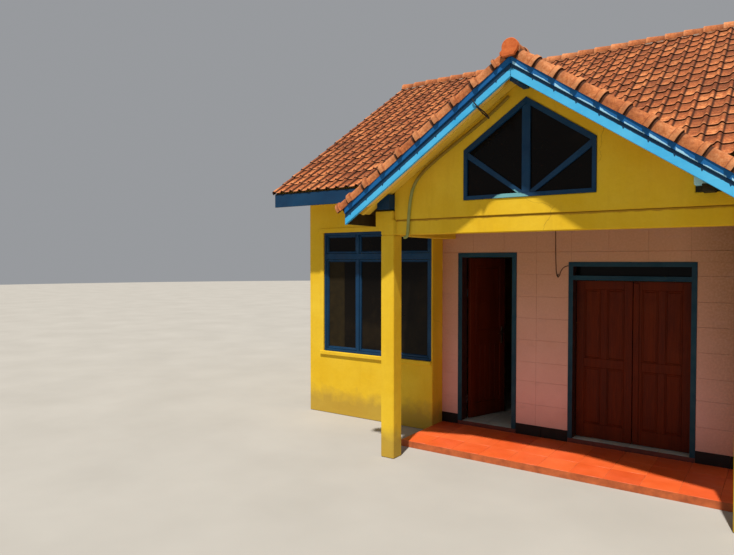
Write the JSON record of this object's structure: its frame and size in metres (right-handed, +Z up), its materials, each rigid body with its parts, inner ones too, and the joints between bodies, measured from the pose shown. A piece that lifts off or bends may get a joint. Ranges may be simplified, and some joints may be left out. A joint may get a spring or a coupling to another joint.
{
  "type": "single-storey bungalow",
  "caption": "Single-storey house with a pantiled gable roof, a gabled entrance porch on square columns, hinged doors and timber-framed windows.",
  "frame": {"origin": "middle of the whole building in plan, roof overhangs included, at ground level", "axes": "+Z up, +Y from the porch into the house, +X along the front to the right as seen from outside"},
  "size_m": [8.16, 8.308, 5.4173],
  "materials": {
    "yellow_plaster": "painted cement render, matt, weathered at the bottom",
    "pink_plaster": "painted render scored into large blocks, matt",
    "red_floor_tile": "glossy red floor tiles with pale joints",
    "grey_floor_tile": "pale grey floor tiles",
    "clay_tile": "unglazed clay pantiles, uneven in colour",
    "dark_blue_paint": "dark blue gloss paint on wood",
    "light_blue_paint": "light blue gloss paint on wood",
    "yellow_roof_wood": "rafters, battens and yellow soffit boards",
    "brown_door_wood": "varnished dark brown wood",
    "dark_glass": "dark window glass",
    "conduit_plastic": "painted plastic pipe"
  },
  "bodies": {
    "house": {"column_left": "yellow_plaster", "column_right": "yellow_plaster", "conduit": "conduit_plastic", "double_door_frame": "dark_blue_paint", "eave_board_front": "dark_blue_paint", "eave_board_rear": "dark_blue_paint", "end_wall_left": "yellow_plaster", "end_wall_right": "yellow_plaster", "entry_door_frame": "dark_blue_paint", "front_glass_left": "dark_glass", "front_glass_right": "dark_glass", "front_wall_left": "yellow_plaster", "front_wall_right": "yellow_plaster", "front_window_left": "dark_blue_paint", "front_window_right": "dark_blue_paint", "gable_glass": "dark_glass", "gable_wall": "yellow_plaster", "gable_window": "dark_blue_paint", "house_floor": "grey_floor_tile", "main_ridge_caps": "clay_tile", "main_roof_deck": "yellow_roof_wood", "main_roof_tiles": "clay_tile", "porch_bargeboard_lower": "light_blue_paint", "porch_bargeboard_upper": "dark_blue_paint", "porch_beams": "yellow_plaster", "porch_floor": "red_floor_tile", "porch_ridge_caps": "clay_tile", "porch_roof_deck": "yellow_roof_wood", "porch_roof_tiles": "clay_tile", "porch_verge_caps_left": "clay_tile", "porch_verge_caps_right": "clay_tile", "porch_wall_left": "pink_plaster", "porch_wall_middle": "pink_plaster", "porch_wall_over_doors": "pink_plaster", "porch_wall_right": "pink_plaster", "rear_glass_left": "dark_glass", "rear_glass_right": "dark_glass", "rear_wall": "yellow_plaster", "rear_window_left": "dark_blue_paint", "rear_window_right": "dark_blue_paint", "transom_glass": "dark_glass", "verge_board_left": "dark_blue_paint", "verge_board_right": "dark_blue_paint", "wall_plate_left": "dark_blue_paint", "wall_plate_right": "dark_blue_paint"},
    "entry_leaf": {"entry_door_leaf": "brown_door_wood"},
    "double_left_leaf": {"double_door_left_leaf": "brown_door_wood"},
    "double_right_leaf": {"double_door_right_leaf": "brown_door_wood"}
  },
  "joints": [
    {"name": "entry_door_hinge", "type": "hinge", "parent": "house", "child": "entry_leaf", "pos_m": [-1.473, -2.1407, 0.13], "axis": [0, 0, 1], "range_deg": [-70, 25]},
    {"name": "double_door_left_hinge", "type": "hinge", "parent": "house", "child": "double_left_leaf", "pos_m": [-0.104, -2.1407, 0.13], "axis": [0, 0, 1], "range_deg": [0, 95]},
    {"name": "double_door_right_hinge", "type": "hinge", "parent": "house", "child": "double_right_leaf", "pos_m": [1.081, -2.1407, 0.13], "axis": [0, 0, -1], "range_deg": [0, 95]}
  ]
}
